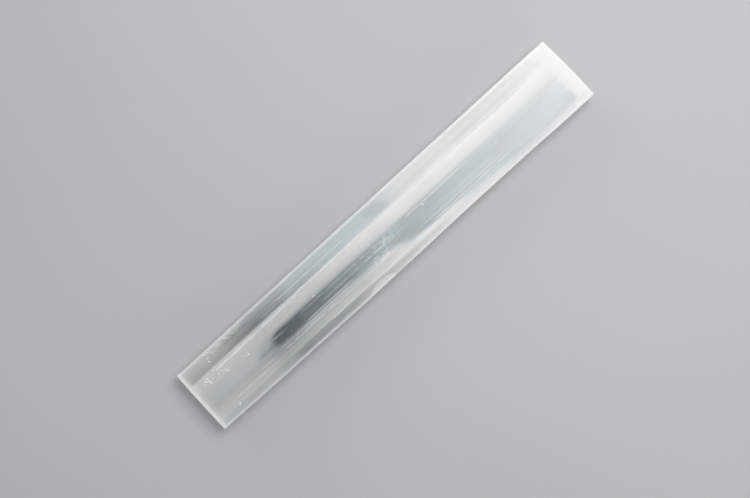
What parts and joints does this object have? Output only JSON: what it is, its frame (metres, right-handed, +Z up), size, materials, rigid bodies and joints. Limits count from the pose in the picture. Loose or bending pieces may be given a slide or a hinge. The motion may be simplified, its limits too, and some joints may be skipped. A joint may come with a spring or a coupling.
{
  "type": "selenite crystal blade",
  "caption": "Flat bar of see-through, milky fibrous gypsum, sawn square at the ends, with a cleavage ledge along one face; lies flat for display.",
  "frame": {"origin": "under the middle of the bar's box, on the surface that its broad underside lies on", "axes": "+X along the fibres towards the slightly slanted end, +Y towards the long edge beside the cleavage ledge, +Z up out of the broad upper face"},
  "size_m": [0.2158, 0.0322, 0.009],
  "materials": {
    "selenite": "satin-polished clear gypsum with milky and grey-blue streaks along the fibres, frosted at the sawn ends"
  },
  "bodies": {
    "root": {"selenite_blade": "selenite"}
  },
  "joints": []
}
